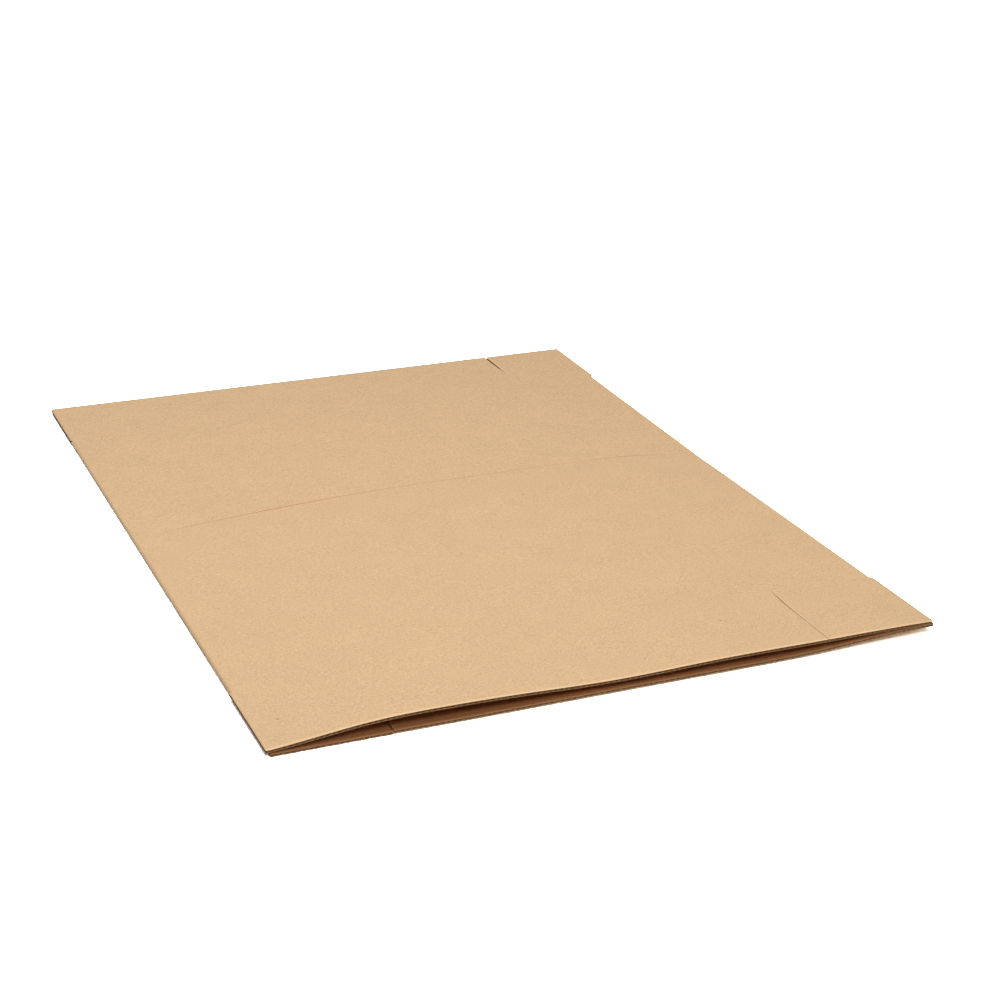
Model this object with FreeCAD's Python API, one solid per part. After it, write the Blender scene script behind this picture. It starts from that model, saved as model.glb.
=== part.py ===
import FreeCAD, Part

import os
from collections import namedtuple
from math import pi

from FreeCAD import Vector

# A shipping carton of single-wall corrugated board, glued into a tube and lying
# folded flat. The upper layer is a long panel with a short panel on its right, and
# the lower layer is a short panel with a long panel on its right. The tube is folded
# over at its left and right sides and is open at the front and back, where each
# panel carries a closing flap. The front mouth gapes, because both layers are bent
# at a crease across the middle.
#
# Millimetres. +Z is up, +X runs along the front edge and +Y goes to the back edge.
# The origin is on the ground under the middle of the carton.

# The carton, measured on the board from score to score
LONG_PANEL = 790.0
SHORT_PANEL = 165.0
BODY_DEPTH = 950.0
FLAP_DEPTH = 160.0
BOARD = 3.8

# The folded tube: the air between its layers where they lie flat
AIR = 1.0

# The corrugated core, seen at the cut edges: its liners, its wavy sheet, and how far
# the eye follows the cells between them
FLUTE_PITCH = 7.84
FLUTE_REACH = 12.0
LINER = 0.5
WAVE_SHEET = 0.8

# Scores: pressed lines that a flap or a panel turns on
SCORE_WIDTH = 5.0
SCORE_DEPTH = 0.5
PANEL_SCORE_DEPTH = 0.3

# Slots between the flaps, as wide as they stand open at the free edge and at the score
SLIT = 1.4
SLIT_FOOT = 1.0
BACK_SLOT_MOUTH = 7.0
FOLD_NICK = 1.6

# How far the upper layer's score and back slot run out of line with the fold beside them
SCORE_OFF_FRONT = 6.0
SCORE_OFF_BACK = 22.0
BACK_SLOT_OFF = 18.0

# The glued lap that closes the tube, on the inside of the lower layer
LAP_WIDTH = 35.0
LAP_END_GAP = 12.0
LAP_PROUD = 0.5
LAP_CRUSHED = 1.3
JOINT_GAP = 2.0

# The crease that the carton was bent at, from the front edge, and its dent, which
# stops this far short of each fold
CREASE_AT = 728.0
CREASE_WIDTH = 7.0
CREASE_DEPTH = 0.35
CREASE_END_GAP = 7.0

# Shape of the gaping mouth at the front edge. Each pair is a place across the carton,
# as a share of the span between its two folds, and how far the board is lifted there.
# They are control points: the board runs smoothly near them.
CORNER_LIFT = 12.8
UPPER_LIFTS = ((0.0, 0.0), (0.06, 9.0), (0.14, 17.2), (0.24, 19.4), (0.36, 17.2),
               (0.5, 10.7), (0.66, 17.9), (0.82, 13.8), (0.94, 16.5), (1.0, CORNER_LIFT))
LOWER_LIFTS = ((0.0, 0.0), (0.15, 0.0), (0.3, 1.2), (0.5, 1.8), (0.7, 1.4),
               (0.82, 1.3), (0.9, 7.6), (1.0, CORNER_LIFT))
CUBIC = 3

# Worked out from the sizes above
STACK = 2.0 * BOARD + AIR
FOLD_RADIUS = STACK / 2.0
# The outer liner is as long round the fold as it is along the flap, so a flap's cut
# edge stands outside the fold by this much.
FLAP_PROUD = (pi / 2.0 - 1.0) * FOLD_RADIUS
FLAT_WIDTH = LONG_PANEL + SHORT_PANEL - 2.0 * FLAP_PROUD
FLAT_DEPTH = BODY_DEPTH + 2.0 * FLAP_DEPTH
RIGHT = FLAT_WIDTH / 2.0
LEFT = -RIGHT
BACK = FLAT_DEPTH / 2.0
FRONT = -BACK
FRONT_SCORE = FRONT + FLAP_DEPTH
BACK_SCORE = BACK - FLAP_DEPTH
CREASE = FRONT + CREASE_AT
BEND_LEFT = LEFT + FOLD_RADIUS
BEND_RIGHT = RIGHT - FOLD_RADIUS
JOINT = LEFT - FLAP_PROUD + SHORT_PANEL
PANEL_SCORE = RIGHT + FLAP_PROUD - SHORT_PANEL

# Spare length that a cutting solid has beyond what it cuts
CLEAR = 20.0

# One layer of board: its lifts, its two faces, and how deep a score dents each face
Layer = namedtuple("Layer", "lifts bottom top dent_under dent_over")
LOWER = Layer(LOWER_LIFTS, 0.0, BOARD, SCORE_DEPTH, 0.0)
UPPER = Layer(UPPER_LIFTS, BOARD + AIR, STACK, 0.0, SCORE_DEPTH)

# One slot: where its middle stands at the score and at the free edge, and how wide it
# stands open there
Slot = namedtuple("Slot", "foot mouth width")


def gape(y):
    """Share of the mouth's lift that is left at y: all at the front, none at the crease."""
    return max(0.0, (CREASE - y) / (CREASE - FRONT))


def lift_curve(lifts, y, height):
    """The smooth line across the carton at y, from one fold to the other."""
    curve = Part.BSplineCurve()
    points = []
    for share, lift in lifts:
        x = BEND_LEFT + share * (BEND_RIGHT - BEND_LEFT)
        points.append(Vector(x, y, height + lift * gape(y)))
    curve.buildFromPoles(points, False, CUBIC)
    return curve


def across(lifts, y, height, bent):
    """The edge across the carton at y: a smooth line where the board is bent."""
    if bent:
        return lift_curve(lifts, y, height).toShape()
    return Part.makeLine(Vector(BEND_LEFT, y, height), Vector(BEND_RIGHT, y, height))


def height_on(curve, x):
    """The height of a curve at one place across, found by halving along it."""
    low, high = curve.FirstParameter, curve.LastParameter
    while high - low > 1e-6:
        middle = (low + high) / 2.0
        if curve.value(middle).x < x:
            low = middle
        else:
            high = middle
    return curve.value(low).z


def flap_wire(layer, y, dent, bent):
    """A closed line round one board at y, with its ends as far out as the flap edges."""
    past = FOLD_RADIUS + FLAP_PROUD
    bottom = layer.bottom + dent * layer.dent_under
    top = layer.top - dent * layer.dent_over
    corner = CORNER_LIFT * gape(y)
    right = [Vector(BEND_RIGHT, y, bottom + corner), Vector(BEND_RIGHT + past, y, bottom + corner),
             Vector(BEND_RIGHT + past, y, top + corner), Vector(BEND_RIGHT, y, top + corner)]
    left = [Vector(BEND_LEFT, y, top), Vector(BEND_LEFT - past, y, top),
            Vector(BEND_LEFT - past, y, bottom), Vector(BEND_LEFT, y, bottom)]
    edges = [across(layer.lifts, y, bottom, bent)]
    edges += [Part.makeLine(a, b) for a, b in zip(right, right[1:])]
    edges.append(across(layer.lifts, y, top, bent))
    edges += [Part.makeLine(a, b) for a, b in zip(left, left[1:])]
    return Part.Wire(edges)


def fold_arc(x_bend, side, y, centre, radius):
    """Half a turn round a fold, from the lower layer up to the upper one."""
    arc = Part.Arc(Vector(x_bend, y, centre - radius),
                   Vector(x_bend + side * radius, y, centre),
                   Vector(x_bend, y, centre + radius))
    return arc.toShape()


def tube_wire(y, lower_height, upper_height, bent):
    """A closed line round the tube at y, with its two boards at the given heights."""
    centre = (lower_height + upper_height) / 2.0
    radius = (upper_height - lower_height) / 2.0
    corner = CORNER_LIFT * gape(y)
    return Part.Wire([across(LOWER_LIFTS, y, lower_height, bent),
                      fold_arc(BEND_RIGHT, 1.0, y, centre + corner, radius),
                      across(UPPER_LIFTS, y, upper_height, bent),
                      fold_arc(BEND_LEFT, -1.0, y, centre, radius)])


def prism(outline, low, high):
    """An upright solid over a plan outline."""
    face = Part.Face(Part.makePolygon([Vector(x, y, low) for x, y in outline + outline[:1]]))
    return face.extrude(Vector(0.0, 0.0, high - low))


def make_tube(near, far, bent):
    """A length of the folded tube, with both of its boards."""
    outside = [tube_wire(y, 0.0, STACK, bent) for y in (near, far)]
    inside = [tube_wire(y, BOARD, BOARD + AIR, bent) for y in (near, far)]
    return Part.makeLoft(outside, True, True).cut(Part.makeLoft(inside, True, True))


def make_body():
    """The tube between the two rows of flap scores, with its lap, scores and crease."""
    front = make_tube(FRONT_SCORE, CREASE, True)
    back = make_tube(CREASE, BACK_SCORE, False)
    return front.fuse([back, make_lap()]).cut([make_crease(), make_panel_score(),
                                               make_joint_slit()])


def make_crease():
    """The dent of the crease, a shallow V straight across the upper layer."""
    half = CREASE_WIDTH / 2.0
    start = BEND_LEFT + CREASE_END_GAP
    end = BEND_RIGHT - CREASE_END_GAP
    corners = [Vector(start, CREASE - half, STACK + CREASE_DEPTH),
               Vector(start, CREASE, STACK - CREASE_DEPTH),
               Vector(start, CREASE + half, STACK + CREASE_DEPTH)]
    face = Part.Face(Part.makePolygon(corners + corners[:1]))
    return face.extrude(Vector(end - start, 0.0, 0.0))


def panel_score_x(y):
    """Where the score between the upper layer's two panels runs at y."""
    share = (y - FRONT_SCORE) / BODY_DEPTH
    return PANEL_SCORE + SCORE_OFF_FRONT + share * (SCORE_OFF_BACK - SCORE_OFF_FRONT)


def make_panel_score():
    """A shallow V along the upper layer, from the front slot to the back one."""
    half = SCORE_WIDTH / 2.0
    wires = []
    for y in (FRONT_SCORE, CREASE, BACK_SCORE):
        x = panel_score_x(y)
        top = height_on(lift_curve(UPPER_LIFTS, y, STACK), x)
        wires.append(Part.makePolygon([Vector(x - half, y, top + PANEL_SCORE_DEPTH),
                                       Vector(x, y, top - PANEL_SCORE_DEPTH),
                                       Vector(x + half, y, top + PANEL_SCORE_DEPTH),
                                       Vector(x - half, y, top + PANEL_SCORE_DEPTH)]))
    return Part.makeLoft(wires, True, True)


def make_lap():
    """The crushed lap of the long panel, glued on the inside of the short one."""
    near = FRONT_SCORE + LAP_END_GAP
    far = BACK_SCORE - LAP_END_GAP
    outline = [(JOINT + JOINT_GAP, near), (JOINT - LAP_WIDTH, near + LAP_END_GAP),
               (JOINT - LAP_WIDTH, far - LAP_END_GAP), (JOINT + JOINT_GAP, far)]
    return prism(outline, BOARD + LAP_PROUD - LAP_CRUSHED, BOARD + LAP_PROUD)


def make_joint_slit():
    """The gap between the two panels under the lap, open to the ground."""
    top = BOARD + LAP_PROUD - LAP_CRUSHED
    return Part.makeBox(JOINT_GAP, BODY_DEPTH, CLEAR + top,
                        Vector(JOINT, FRONT_SCORE, -CLEAR))


def make_slot(slot, score, free):
    """An upright solid for a slot that tapers from the free edge to the score."""
    past = CLEAR if free > score else -CLEAR
    half_foot = SLIT_FOOT / 2.0
    half = slot.width / 2.0
    outline = [(slot.foot - half_foot, score), (slot.foot + half_foot, score),
               (slot.mouth + half, free), (slot.mouth + half, free + past),
               (slot.mouth - half, free + past), (slot.mouth - half, free)]
    return prism(outline, -CLEAR, STACK + 2.0 * CLEAR)


def make_nick(fold, side, score, free):
    """The end of the slot at a fold, which parts the flap's edge from the fold."""
    nick = FOLD_NICK if free > score else -FOLD_NICK
    outline = [(fold, score), (fold + side * CLEAR, score),
               (fold + side * CLEAR, score + nick), (fold, score + nick)]
    return prism(outline, -CLEAR, STACK + 2.0 * CLEAR)


def make_cells(layer, score, free, slot):
    """The open cells of one board's core at a free edge.

    The wavy sheet leaves three-cornered cells that stand on the lower liner and hang
    from the upper one in turn. Each is drawn in to a point, as deep as light reaches.
    """
    inward = FLUTE_REACH if score > free else -FLUTE_REACH
    curve = lift_curve(layer.lifts, free, layer.bottom)
    half_base = (FLUTE_PITCH - WAVE_SHEET) / 2.0
    cells = []
    for step in range(1, int(2.0 * (BEND_RIGHT - BEND_LEFT) / FLUTE_PITCH)):
        x = BEND_LEFT + step * FLUTE_PITCH / 2.0
        if abs(x - slot.mouth) < half_base + LINER + slot.width / 2.0:
            continue
        base, tip = (LINER, BOARD - LINER) if step % 2 else (BOARD - LINER, LINER)
        corners = [Vector(place, free, height_on(curve, place) + height)
                   for place, height in ((x - half_base, base), (x + half_base, base), (x, tip))]
        point = Vector(x, free + inward, height_on(curve, x) + BOARD / 2.0)
        mouth = Part.makePolygon(corners + corners[:1])
        cells.append(Part.makeLoft([mouth, Part.Vertex(point)], True, True))
    return cells


def make_flaps(layer, score, free, slot):
    """One layer's two flaps at one end, parted by their slot and nicked at the folds."""
    turn = SCORE_WIDTH if free > score else -SCORE_WIDTH
    stations = ((free, 0.0), (score + turn, 0.0), (score + turn / 2.0, 1.0), (score, 0.0))
    wires = [flap_wire(layer, y, dent, free == FRONT) for y, dent in stations]
    cutters = [make_slot(slot, score, free), make_nick(LEFT, -1.0, score, free),
               make_nick(RIGHT, 1.0, score, free)]
    return Part.makeLoft(wires, True, True).cut(cutters + make_cells(layer, score, free, slot))


def make_carton():
    """The whole folded carton, as the one piece of board that it is."""
    joint_middle = JOINT + JOINT_GAP / 2.0
    joint_slot = Slot(joint_middle, joint_middle, JOINT_GAP)
    front_slot = Slot(panel_score_x(FRONT_SCORE), PANEL_SCORE, SLIT)
    back_slot = Slot(panel_score_x(BACK_SCORE), PANEL_SCORE + BACK_SLOT_OFF, BACK_SLOT_MOUTH)
    return make_body().fuse([make_flaps(UPPER, FRONT_SCORE, FRONT, front_slot),
                             make_flaps(UPPER, BACK_SCORE, BACK, back_slot),
                             make_flaps(LOWER, FRONT_SCORE, FRONT, joint_slot),
                             make_flaps(LOWER, BACK_SCORE, BACK, joint_slot)])


os.makedirs("parts", exist_ok=True)
carton = make_carton()
print("solids", len(carton.Solids), "valid", carton.isValid(), "volume", round(carton.Volume))
carton.Solids[0].exportStep("parts/folded_carton.step")
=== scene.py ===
from collections import namedtuple
from math import cos, pi, radians, sin

import bpy
import numpy as np
from bpy.props import FloatProperty, FloatVectorProperty, IntProperty, PointerProperty
from mathutils import Matrix, Vector


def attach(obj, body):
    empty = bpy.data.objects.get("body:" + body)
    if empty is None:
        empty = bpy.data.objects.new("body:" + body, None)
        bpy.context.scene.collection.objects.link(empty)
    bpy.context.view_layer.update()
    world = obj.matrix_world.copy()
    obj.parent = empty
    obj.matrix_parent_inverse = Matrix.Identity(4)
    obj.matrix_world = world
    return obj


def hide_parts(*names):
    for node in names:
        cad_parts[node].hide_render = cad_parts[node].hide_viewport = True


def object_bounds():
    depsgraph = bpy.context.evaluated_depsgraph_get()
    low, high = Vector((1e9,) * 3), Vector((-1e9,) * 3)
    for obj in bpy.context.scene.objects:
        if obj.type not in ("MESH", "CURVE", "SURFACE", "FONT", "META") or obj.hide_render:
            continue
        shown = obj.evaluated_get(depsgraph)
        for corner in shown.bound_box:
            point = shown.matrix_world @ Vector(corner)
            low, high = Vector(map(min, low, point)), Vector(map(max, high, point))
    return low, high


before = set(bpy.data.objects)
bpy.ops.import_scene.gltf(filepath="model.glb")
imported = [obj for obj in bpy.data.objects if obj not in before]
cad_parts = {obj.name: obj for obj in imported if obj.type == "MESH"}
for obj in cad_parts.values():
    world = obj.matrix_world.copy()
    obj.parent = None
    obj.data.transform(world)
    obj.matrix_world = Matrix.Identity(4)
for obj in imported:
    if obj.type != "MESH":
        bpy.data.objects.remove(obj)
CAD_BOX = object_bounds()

bl_info = {
    "name": "Flattened cardboard carton",
    "version": (1, 0, 0),
    "blender": (4, 5, 0),
    "location": "3D View > Sidebar > Carton",
    "description": "Builds a corrugated shipping carton, folded flat, with open flutes at "
                   "its cut edges",
    "category": "Add Mesh",
}

# All shapes are worked out in millimetres and put into Blender in metres. +X runs along
# the front edge, +Y from the front to the back and +Z up, as in the frame.
MM = 0.001
NODE = "folded_carton"
BODY = "root"

# The frame's box, from flap edge to flap edge
WIDTH = (CAD_BOX[1][0] - CAD_BOX[0][0]) / MM
DEPTH = (CAD_BOX[1][1] - CAD_BOX[0][1]) / MM

# How far each board is lifted at the front edge. Each pair is a place across the carton,
# as a share of the span between its two folds, and a lift: the control points of a curve.
UPPER_LIFTS = ((0.0, 1.8), (0.05, 6.0), (0.13, 17.4), (0.24, 18.2), (0.36, 16.0),
               (0.5, 8.8), (0.66, 15.2), (0.82, 12.0), (0.94, 13.2), (1.0, 11.4))
LOWER_LIFTS = ((0.0, 0.0), (0.15, 0.2), (0.3, 0.6), (0.5, 2.2), (0.7, 1.7),
               (0.82, 1.8), (0.9, 9.4), (1.0, 12.0))

# The long flap stands up a little beside the lower slot, and how far along that fades
SLOT_LIFT = 1.3
SLOT_LIFT_FADE = 95.0

# The crease bows towards the front at both sides of the carton: how far, and how fast
CREASE_MIDDLE = 7.0
CREASE_LEFT_BOW = 54.0
CREASE_RIGHT_BOW = 51.0
CREASE_LEFT_POWER = 1.75
CREASE_RIGHT_POWER = 7.0
CREASE_SPREAD = 90.0
CREASE_DEPTH = 0.3
CREASE_HALF_WIDTH = 2.4

# The crease's strength: a base, and bells on it. Each bell is a height, a place as a share
# of half the width, and a spread. It ends short of the folds: where, and over how much.
CREASE_BASE = 0.4
CREASE_DEEP = (0.6, -0.45, 0.22)
CREASE_RIGHT = (0.3, 0.82, 0.14)
CREASE_FAINT = (0.75, 0.55, 0.1)
CREASE_ENDS = (0.94, 0.14)

# Pressed lines: the flap scores across and the panel score along the upper layer, and how
# much of their depth the inner face takes
SCORE_DEPTH = 0.22
SCORE_HALF_WIDTH = 2.2
PANEL_SCORE_DEPTH = 0.14
SCORE_OFF_FRONT = 4.0
SCORE_OFF_BACK = 22.0
INNER_PRESSED = 0.25

# Slots from the free edge to their foot. Each entry is a share of that way, how far the
# slot's middle stands off the line between the panels, and half its width.
FRONT_SLOT = ((0.0, -2.6, 0.45), (0.26, -1.9, 0.4), (0.49, -1.6, 0.45), (0.6, -1.5, 0.6),
              (0.72, -0.9, 0.75), (0.88, 1.6, 0.55), (1.0, 3.2, 0.15))
BACK_SLOT = ((0.0, 18.9, 0.8), (0.06, 19.0, 1.9), (0.25, 19.3, 1.8), (0.42, 19.7, 1.2),
             (0.55, 20.1, 0.5), (0.6, 20.3, 0.03), (1.0, 22.0, 0.03))
JOINT_SLOT = ((0.0, 1.0, 0.4), (0.06, 1.0, 1.3), (0.7, 1.0, 1.2), (1.0, 1.0, 0.5))

# How far the upper front slot is torn on past the score
SLOT_PAST_SCORE = 13.0

# How far each flap's cut edge stands past the fold, at the left and the right, for the
# front and the back flaps of each layer
UPPER_PROUD = ((2.0, 1.1), (0.8, 2.4))
LOWER_PROUD = ((-3.7, 2.4), (-1.4, 1.2))

# How far the slot at the fold reaches along it, the hair by which its last row is outside
# it, and the radius of the flaps' corners, which is drawn with points at these shares of it
FOLD_NICK = 1.6
HAIR = 0.01
CORNER_ROUND = 1.2
CORNER_SHARES = np.array((0.0, 0.1, 0.27, 0.47, 0.7, 1.0))

# Nibbles in the lower front edge: their depth, where they begin and end from the left
# corner, over how much they fade in and out, the waves that they are made of and their seed
NIBBLE = 1.6
NIBBLES_START = 8.0
NIBBLES_END = 175.0
NIBBLES_FADE_IN = 20.0
NIBBLES_FADE_OUT = 30.0
NIBBLE_WAVES = (31.0, 11.3, 5.1)
NIBBLE_SEED = 11

# Rims where the paper's tone changes: a painted highlight along the front edge of the
# outer and the inner faces and beside a front and a back slot, and darker back ends and sides
HIGHLIGHT_OUTER_RIM = 2.8
HIGHLIGHT_INNER_RIM = 4.5
FRONT_SLOT_RIM = 1.6
BACK_SLOT_RIM = 4.0
SLOT_HIGHLIGHT = 0.6
SLOT_OPEN = 0.5
DARKENING_END_RIM = 2.4
DARKENING_SIDE_RIM = 1.8
DARKENING = 0.7

# The glued lap inside the lower layer: its width, how far it ends short of the scores, how
# proud it lies and how thick it is, how much thinner its free edge is pressed and how far
# in, the flutes' faint wave on it, how far it reaches past the joint, the points of its
# grid across and along, and the joint's gap
LAP_WIDTH = 35.0
LAP_END_GAP = 12.0
LAP_PROUD = 0.5
LAP_CRUSHED = 1.3
LAP_THINNER = 0.35
LAP_THIN_REACH = 4.0
LAP_WAVE = 0.05
LAP_PAST_JOINT = 3.0
LAP_COLUMNS = 25
LAP_ROWS = 61
JOINT_GAP = 2.0

# How far the fluting stays back from the free ends, the flaps' sides and the joint, how
# many steps draw each flute, where its rows lie beside the crease, and the most that a
# pressed line takes off its outer crests
FLUTING_END_INSET = 0.25
FLUTING_SIDE_INSET = 0.3
FLUTING_JOINT_INSET = 0.2
STEPS_PER_FLUTE = 10.0
FLUTING_CREASE = 4.0
FLUTING_MOST_CRUSHED = 0.4

# Steps of the liners' grids along the carton, how far the even rows keep off a free end, a
# score and the crease, and the rows in a score's groove and, as shares, beside the crease
FLAP_STEP = 12.0
STRIP_STEP = 2.5
BODY_STEP = 40.0
ROWS_OFF_END = 6.0
ROWS_OFF_SCORE = 8.0
ROWS_OFF_CREASE = 18.0
GROOVE_ROWS = 7
CREASE_SHARES = np.array((0.0, 0.25, 0.5, 0.75, 1.0, 2.0, 4.0))

# Steps across the carton, where the columns beside a flap's side, the two ends of the panel
# score and the joint lie, and the points round each fold
COLUMN_STEP = 7.0
SCORE_COLUMN_STEP = 1.1
NIBBLE_COLUMN_STEP = 1.3
FLAP_SIDE_COLUMN = 5.0
COLUMNS_BEFORE_SCORE = 6.0
COLUMNS_PAST_SCORE = 4.0
JOINT_COLUMNS = np.array((-6.0, -2.5, 4.5, 8.0))
OUTER_FOLD_STEPS = 15
INNER_FOLD_STEPS = 7

# How finely the lifts' curve is read off, and the angle from which an edge looks sharp
CURVE_SAMPLES = 4001
SHARP_ANGLE = radians(38.0)

# Bark flecks: the shortest, how much longer they get, the most they are turned in radians,
# their width as shares of their length, how proud of the liner they lie, how thick, how far
# they keep off the folds and the free ends, and the seed of their places
FLECK_SHORTEST = 0.5
FLECK_LONGER = 1.0
FLECK_TURN = 0.5
FLECK_WIDTHS = (0.2, 0.4)
FLECK_PROUD = 0.03
FLECK_THICK = 0.06
FLECK_MARGINS = np.array((6.0, 8.0))
FLECK_SEED = 7

# Bark flecks that show in the photograph, each a place on the upper layer and its length
SEEN_FLECKS = ((-441.0, -568.0, 3.2), (-344.0, 104.0, 2.4), (-264.0, 137.0, 2.4),
               (-278.0, 588.0, 2.4), (-411.0, -38.0, 2.6), (136.0, -4.0, 2.4),
               (202.0, -530.0, 2.8), (55.0, -594.0, 2.4), (48.0, -539.0, 2.2))

# The camera that the photograph was taken with, solved from the carton's outline
CAMERA_AT = (-1.1009, -2.8092, 1.2880)
CAMERA_DOWN = radians(22.780)
CAMERA_YAW = radians(23.082)
CAMERA_ROLL = radians(1.025)
FOCAL_WIDTHS = 2.11776
SENSOR = 36.0
CLIP_END = 100.0

# Lamps: the name, the place, the place that it faces, the side in metres and the watts
LAMPS = (("overhead_softbox", (-0.35, -0.05, 3.2), (0.0, 0.0, 0.0), 2.0, 82.0),
         ("front_softbox", (-0.3, -2.9, 2.5), (0.0, -0.3, 0.0), 1.0, 30.0))

# The room's strength as a light and where it is looked at, the floor's half side and how
# far it lies under the carton, and how bright it looks: at the carton, and more with the
# square of each metre away
ROOM_LIGHT = 0.13
ROOM_SEEN = 1.0
FLOOR_HALF = 30.0
FLOOR_BELOW = 0.0004
FLOOR_SEEN = 4.0
FLOOR_SEEN_RISE = 0.8

# Kraft paper: the size of each pattern and how far it moves the tone, what the tone starts
# from, how much the painted edge highlight adds to it, and the depth of the relief
CLOUD, CLOUD_TONE = 60.0, 0.10
MOTTLE, MOTTLE_TONE = 2.4, 0.66
FIBRE, FIBRE_TONE = 1.6, 0.25
KRAFT_TONE = 0.495
HIGHLIGHT_OUTER, HIGHLIGHT_INNER, HIGHLIGHT_LAP = 0.5, 0.9, 0.0
WASHBOARD_DEPTH = 0.012
MOTTLE_DEPTH = 0.05


def linear(text):
    """An sRGB hex colour as linear red, green, blue and alpha."""
    parts = [int(text[i:i + 2], 16) / 255.0 for i in (0, 2, 4)]
    return [p / 12.92 if p <= 0.04045 else ((p + 0.055) / 1.055) ** 2.4 for p in parts] + [1.0]


class CartonSizes(bpy.types.PropertyGroup):
    """Sizes of the carton that a user would change"""
    short_panel: FloatProperty(name="Short panel", description="Width of the short panel",
                               default=0.165, min=0.06, unit="LENGTH")
    flap_depth: FloatProperty(name="Flap depth", description="Length of the closing flaps",
                              default=0.160, min=0.03, unit="LENGTH")
    board: FloatProperty(name="Board", description="Thickness of the corrugated board",
                         default=0.0038, min=0.001, precision=4, unit="LENGTH")
    air: FloatProperty(name="Air", description="Gap between the layers where they lie flat",
                       default=0.001, min=0.0, precision=4, unit="LENGTH")
    liner: FloatProperty(name="Liner", description="Thickness of each flat liner sheet",
                         default=0.00042, min=0.0001, precision=5, unit="LENGTH")
    medium: FloatProperty(name="Fluting sheet", description="Thickness of the wavy sheet",
                          default=0.00034, min=0.0001, precision=5, unit="LENGTH")
    flute_pitch: FloatProperty(name="Flute pitch", description="Distance from flute to flute",
                               default=0.00784, min=0.002, precision=5, unit="LENGTH")
    crease_at: FloatProperty(name="Crease", description="Place of the crease, from the front edge",
                             default=0.728, min=0.2, unit="LENGTH")
    flecks: IntProperty(name="Flecks", description="How many bark flecks lie in the outer liner",
                        default=260, min=0)


class CartonLooks(bpy.types.PropertyGroup):
    """Colours of the papers and of the stage"""
    outer_liner: FloatVectorProperty(name="Outer liner", description="Kraft paper, outer face",
                                     default=linear("DDB98F"), size=4, subtype="COLOR")
    inner_liner: FloatVectorProperty(name="Inner liner", description="Kraft paper, inner face",
                                     default=linear("BC8556"), size=4, subtype="COLOR")
    cut_edge: FloatVectorProperty(name="Cut edge", description="Kraft paper where it is cut",
                                  default=linear("D6B58A"), size=4, subtype="COLOR")
    # Darker, redder paper along the crease: partly the crushed fibres' own tone, partly painted
    # shade of the groove
    crease: FloatVectorProperty(name="Crease", description="Kraft paper along the crease",
                                default=linear("BE8860"), size=4, subtype="COLOR")
    fluting: FloatVectorProperty(name="Fluting", description="Semi-chemical fluting paper",
                                 default=linear("C0A27A"), size=4, subtype="COLOR")
    bark: FloatVectorProperty(name="Bark", description="Bark flecks in the paper",
                              default=linear("6E5238"), size=4, subtype="COLOR")
    floor: FloatVectorProperty(name="Floor", description="Studio floor",
                               default=linear("B4B4B4"), size=4, subtype="COLOR")


Carton = namedtuple("Carton", "flap board air liner medium pitch crease flecks stack "
                              "radius right front_score back_score front back bend joint "
                              "panel_score")

# One layer of board: its lifts, the height of its outer and inner face, which way is out,
# and how far its flaps stand past the folds
Layer = namedtuple("Layer", "lifts outer inner out proud")


def measured(sizes):
    """Every size of the carton in millimetres, worked out from the panel's values."""
    board, air = sizes.board / MM, sizes.air / MM
    short, flap = sizes.short_panel / MM, sizes.flap_depth / MM
    radius = board + air / 2.0
    proud = (pi / 2.0 - 1.0) * radius
    right = WIDTH / 2.0 - proud
    front, back = -DEPTH / 2.0, DEPTH / 2.0
    return Carton(flap=flap, board=board, air=air, liner=sizes.liner / MM,
                  medium=sizes.medium / MM, pitch=sizes.flute_pitch / MM,
                  crease=front + sizes.crease_at / MM, flecks=sizes.flecks,
                  stack=2.0 * board + air, radius=radius, right=right,
                  front_score=front + flap, back_score=back - flap, front=front, back=back,
                  bend=right - radius, joint=-WIDTH / 2.0 + short,
                  panel_score=WIDTH / 2.0 - short)


def layers(c):
    """The upper and the lower board."""
    upper = Layer(UPPER_LIFTS, c.stack, c.board + c.air, 1.0, UPPER_PROUD)
    lower = Layer(LOWER_LIFTS, 0.0, c.board, -1.0, LOWER_PROUD)
    return upper, lower


def bump(distance, half_width):
    """A smooth hump of height 1 at distance 0: half a wave of a cosine, nothing beyond it."""
    inside = np.clip(np.abs(distance) / half_width, 0.0, 1.0)
    return 0.5 + 0.5 * np.cos(pi * inside)


def front_lift(c, lifts, x):
    """Lift at the front edge: a clamped, evenly knotted cubic B-spline through the pairs'
    control polygon, worked out by the Cox-de Boor recursion and read off at x."""
    count, degree = len(lifts), 3
    knots = np.concatenate((np.zeros(degree), np.arange(count - degree + 1.0),
                            np.full(degree, count - degree)))
    t = np.linspace(0.0, count - degree - 1e-9, CURVE_SAMPLES)
    basis = [((knots[i] <= t) & (t < knots[i + 1])).astype(float)
             for i in range(len(knots) - 1)]
    for k in range(1, degree + 1):
        raised = []
        for i in range(len(knots) - k - 1):
            rise, fall = knots[i + k] - knots[i], knots[i + k + 1] - knots[i + 1]
            term = np.zeros_like(t)
            if rise > 0.0:
                term = term + (t - knots[i]) / rise * basis[i]
            if fall > 0.0:
                term = term + (knots[i + k + 1] - t) / fall * basis[i + 1]
            raised.append(term)
        basis = raised
    across = sum(b * share for b, (share, _) in zip(basis, lifts))
    lifted = sum(b * lift for b, (_, lift) in zip(basis, lifts))
    return np.interp((x + c.bend) / (2.0 * c.bend), across, lifted)


def crease_shift(c, x):
    """How far the crease lies from its straight line: set back a little in the middle, and
    drawn to the front by a power of the distance from the middle, one for each side."""
    share = np.clip(np.abs(x) / c.right, 0.0, 1.0)
    left = CREASE_LEFT_BOW * share ** CREASE_LEFT_POWER
    right = CREASE_RIGHT_BOW * share ** CREASE_RIGHT_POWER
    return CREASE_MIDDLE - np.where(x < 0.0, left, right)


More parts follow.
